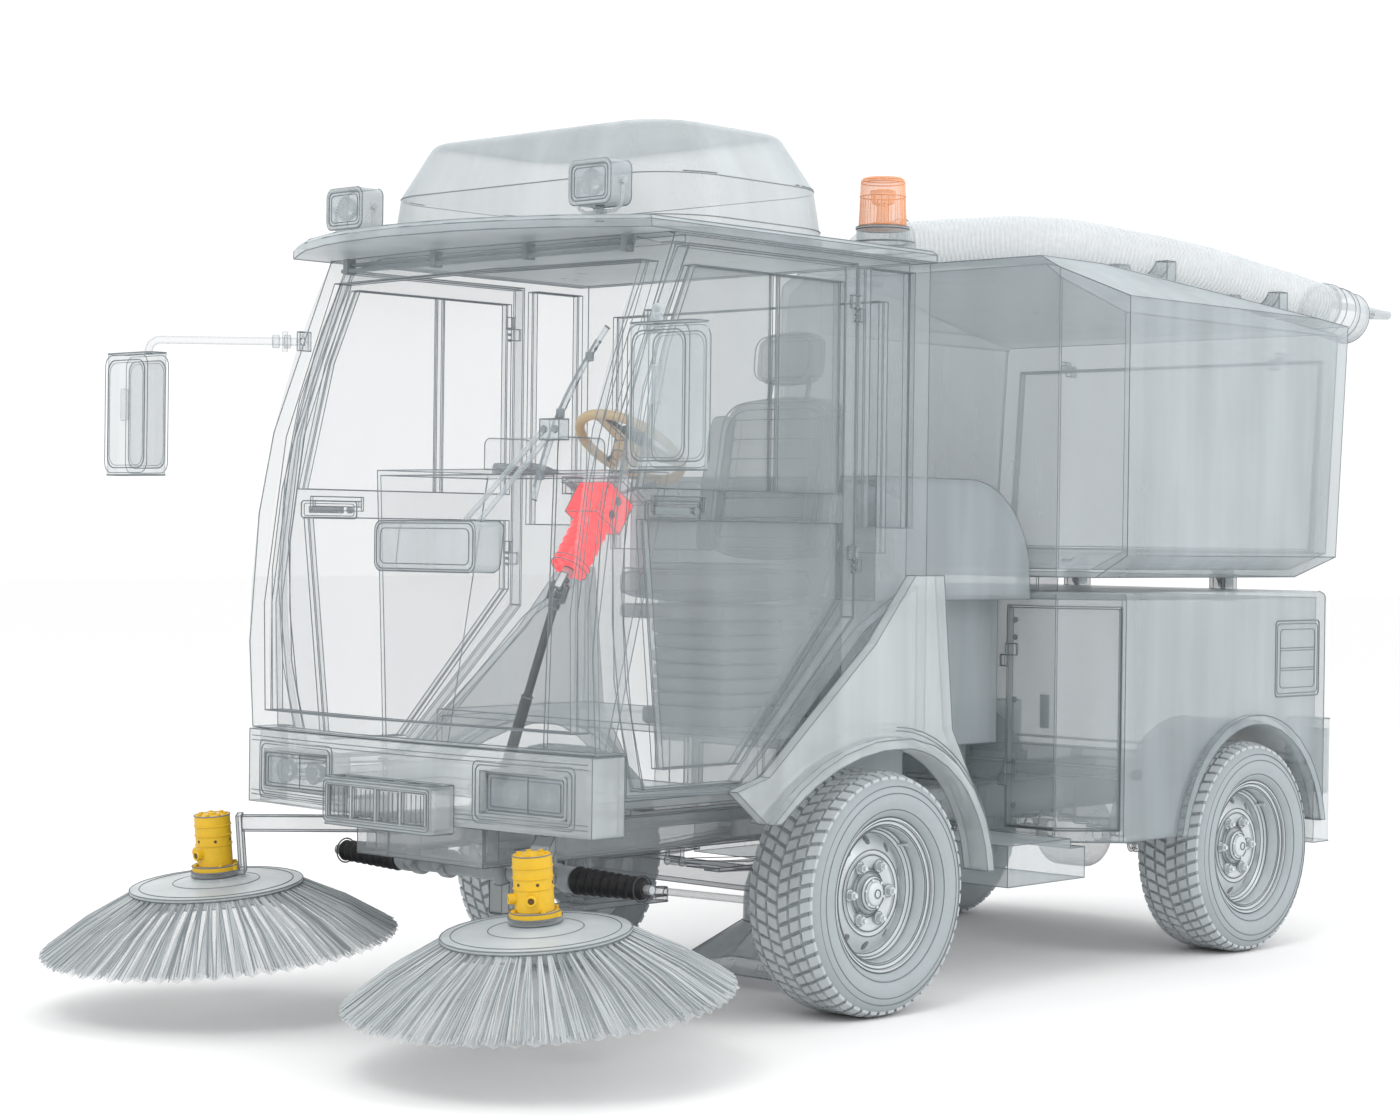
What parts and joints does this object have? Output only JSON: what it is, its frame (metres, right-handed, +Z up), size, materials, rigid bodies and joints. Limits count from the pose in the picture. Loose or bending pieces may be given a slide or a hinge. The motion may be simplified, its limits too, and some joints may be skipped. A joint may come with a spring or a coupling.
{
  "type": "street sweeper truck",
  "caption": "Compact street sweeper truck with a glazed cab, a tipping hopper, swinging side brushes and a full steering linkage from steering wheel to front wheels.",
  "frame": {"origin": "on the ground, under the middle of the outer box", "axes": "+Z up, -Y to the vehicle's front, +X to the vehicle's left; +Y runs to its rear along its length"},
  "size_m": [2.27, 4.5796, 2.383],
  "materials": {
    "frame_steel": "satin",
    "dark_steel": "satin",
    "wheel_steel": "satin",
    "tyre": "matt",
    "bright_steel": "bright",
    "wheel_rim": "satin",
    "cast_metal": "cast",
    "bellows_rubber": "matt",
    "red_unit": "gloss",
    "body_paint": "satin",
    "glass": "clear",
    "lamp_lens": "clear",
    "beacon_orange": "clear",
    "dark_plastic": "satin",
    "hose_plastic": "satin",
    "seat_fabric": "woven",
    "motor_yellow": "satin",
    "bristle": "matt"
  },
  "bodies": {
    "chassis": {"chassis_frame": "frame_steel", "axles": "frame_steel", "leaf_springs": "dark_steel", "rack_housing": "cast_metal", "rack_bellows": "bellows_rubber", "steering_unit": "red_unit", "engine_block": "cast_metal", "engine_cover": "body_paint", "suction_duct": "dark_plastic", "cab_floor": "frame_steel", "cab_shell": "body_paint", "cab_glass": "glass", "cab_roof": "body_paint", "roof_air_unit": "body_paint", "lamps": "lamp_lens", "beacon_lens": "beacon_orange", "front_bumper": "body_paint", "front_fenders": "body_paint", "rear_body": "body_paint", "rear_bumper": "dark_plastic", "side_tanks": "body_paint", "mirrors": "dark_plastic", "windscreen_wiper": "dark_plastic", "driver_seat": "seat_fabric", "dashboard": "dark_plastic"},
    "wheel_assembly_rear_left": {"wheel_rear_left": "wheel_steel", "tyre_rear_left": "tyre"},
    "wheel_assembly_rear_right": {"wheel_rear_right": "wheel_steel", "tyre_rear_right": "tyre"},
    "wheel_assembly_front_left": {"wheel_front_left": "wheel_steel", "tyre_front_left": "tyre"},
    "wheel_assembly_front_right": {"wheel_front_right": "wheel_steel", "tyre_front_right": "tyre"},
    "knuckle_body_left": {"knuckle_left": "dark_steel"},
    "knuckle_body_right": {"knuckle_right": "dark_steel"},
    "relay": {"relay_lever": "dark_steel"},
    "rod_left": {"tie_rod_left": "dark_steel"},
    "rod_right": {"tie_rod_right": "dark_steel"},
    "rack": {"steering_rack": "bright_steel"},
    "handwheel": {"steering_wheel": "wheel_rim", "steering_column": "dark_steel"},
    "shaft": {"steering_shaft": "dark_steel"},
    "pinion": {"steering_pinion": "dark_steel"},
    "door_left": {"cab_door_left": "body_paint", "door_glass_left": "glass"},
    "door_right": {"cab_door_right": "body_paint", "door_glass_right": "glass"},
    "service_left": {"service_door_left": "body_paint"},
    "service_right": {"service_door_right": "body_paint"},
    "hopper": {"hopper_shell": "body_paint", "suction_hose": "hose_plastic"},
    "hopper_rear_door": {"hopper_door": "body_paint"},
    "arm_left": {"brush_arm_left": "dark_steel", "brush_motor_left": "motor_yellow"},
    "arm_right": {"brush_arm_right": "dark_steel", "brush_motor_right": "motor_yellow"},
    "brush_left": {"brush_disc_left": "dark_plastic", "brush_bristles_left": "bristle"},
    "brush_right": {"brush_disc_right": "dark_plastic", "brush_bristles_right": "bristle"}
  },
  "joints": [
    {"name": "steer_left", "type": "hinge", "parent": "chassis", "child": "knuckle_body_left", "pos_m": [0.5, -0.56, 0.334], "axis": [0, 0, 1], "range_deg": [-28, 28]},
    {"name": "steer_right", "type": "hinge", "parent": "chassis", "child": "knuckle_body_right", "pos_m": [-0.5, -0.56, 0.334], "axis": [0, 0, 1], "range_deg": [-28.5, 28.5]},
    {"name": "wheel_spin_front_left", "type": "hinge", "parent": "knuckle_body_left", "child": "wheel_assembly_front_left", "pos_m": [0.582, -0.56, 0.334], "axis": [1, 0, 0], "continuous": true},
    {"name": "wheel_spin_front_right", "type": "hinge", "parent": "knuckle_body_right", "child": "wheel_assembly_front_right", "pos_m": [-0.582, -0.56, 0.334], "axis": [1, 0, 0], "continuous": true},
    {"name": "wheel_spin_rear_left", "type": "hinge", "parent": "chassis", "child": "wheel_assembly_rear_left", "pos_m": [0.582, 1.267, 0.334], "axis": [1, 0, 0], "continuous": true},
    {"name": "wheel_spin_rear_right", "type": "hinge", "parent": "chassis", "child": "wheel_assembly_rear_right", "pos_m": [-0.582, 1.267, 0.334], "axis": [1, 0, 0], "continuous": true},
    {"name": "relay_turn", "type": "hinge", "parent": "chassis", "child": "relay", "pos_m": [0, -1.06, 0.28], "axis": [0, 0, 1], "range_deg": [-13.79, 13.79]},
    {"name": "tie_rod_left_turn", "type": "hinge", "parent": "relay", "child": "rod_left", "pos_m": [0.03, -0.76, 0.3], "axis": [0, 0, 1], "range_deg": [-9.47, 9.47]},
    {"name": "tie_rod_right_turn", "type": "hinge", "parent": "relay", "child": "rod_right", "pos_m": [-0.03, -0.76, 0.3], "axis": [0, 0, 1], "range_deg": [-9.47, 9.47]},
    {"name": "rack_slide", "type": "slide", "parent": "chassis", "child": "rack", "axis": [1, 0, 0], "range_m": [-0.0705, 0.0705]},
    {"name": "steering_wheel_turn", "type": "hinge", "parent": "chassis", "child": "handwheel", "pos_m": [0.334, -1.215, 1.531], "axis": [0, 0.5664, 0.8241], "range_deg": [-421, 421]},
    {"name": "steering_shaft_turn", "type": "hinge", "parent": "chassis", "child": "shaft", "pos_m": [0.08, -1.463, 0.545], "axis": [0.3795, -0.0061, 0.9252], "range_deg": [-421, 421]},
    {"name": "pinion_turn", "type": "hinge", "parent": "chassis", "child": "pinion", "pos_m": [0.08, -1.463, 0.545], "axis": [0, -0.2938, 0.9559], "range_deg": [-421, 421]},
    {"name": "cab_door_left_swing", "type": "hinge", "parent": "chassis", "child": "door_left", "pos_m": [0.674, -0.694, 1.35], "axis": [0, 0, 1], "range_deg": [0, 70]},
    {"name": "cab_door_right_swing", "type": "hinge", "parent": "chassis", "child": "door_right", "pos_m": [-0.674, -0.694, 1.35], "axis": [0, 0, -1], "range_deg": [0, 70]},
    {"name": "service_door_left_swing", "type": "hinge", "parent": "chassis", "child": "service_left", "pos_m": [0.375, 0.378, 0.77], "axis": [0, 0, -1], "range_deg": [0, 80]},
    {"name": "service_door_right_swing", "type": "hinge", "parent": "chassis", "child": "service_right", "pos_m": [-0.375, 0.378, 0.77], "axis": [0, 0, 1], "range_deg": [0, 80]},
    {"name": "hopper_tip", "type": "hinge", "parent": "chassis", "child": "hopper", "pos_m": [0, 1.7, 1.172], "axis": [-1, 0, 0], "range_deg": [0, 50]},
    {"name": "hopper_door_swing", "type": "hinge", "parent": "hopper", "child": "hopper_rear_door", "pos_m": [0, 1.80061, 1.91367], "axis": [1, 0, 0], "range_deg": [0, 75]},
    {"name": "brush_arm_left_swing", "type": "hinge", "parent": "chassis", "child": "arm_left", "pos_m": [0.33, -1.5, 0.51], "axis": [0, 0, 1], "range_deg": [-10, 12]},
    {"name": "brush_arm_right_swing", "type": "hinge", "parent": "chassis", "child": "arm_right", "pos_m": [-0.33, -1.5, 0.51], "axis": [0, 0, -1], "range_deg": [-10, 12]},
    {"name": "brush_spin_left", "type": "hinge", "parent": "arm_left", "child": "brush_left", "pos_m": [0.625, -1.815, 0.369], "axis": [0, -0.0946, 0.9955], "continuous": true},
    {"name": "brush_spin_right", "type": "hinge", "parent": "arm_right", "child": "brush_right", "pos_m": [-0.625, -1.815, 0.369], "axis": [0, -0.0946, 0.9955], "continuous": true}
  ],
  "couplings": [
    {"joint": "steer_right", "follows": "steer_left", "ratio": 1},
    {"joint": "relay_turn", "follows": "steer_left", "ratio": -0.4745},
    {"joint": "tie_rod_left_turn", "follows": "steer_left", "ratio": 0.3205},
    {"joint": "tie_rod_right_turn", "follows": "steer_left", "ratio": 0.3205},
    {"joint": "rack_slide", "follows": "steer_left", "m_per_rad": -0.1423},
    {"joint": "steering_wheel_turn", "follows": "steer_left", "ratio": 15},
    {"joint": "steering_shaft_turn", "follows": "steer_left", "ratio": 15},
    {"joint": "pinion_turn", "follows": "steer_left", "ratio": 15}
  ]
}
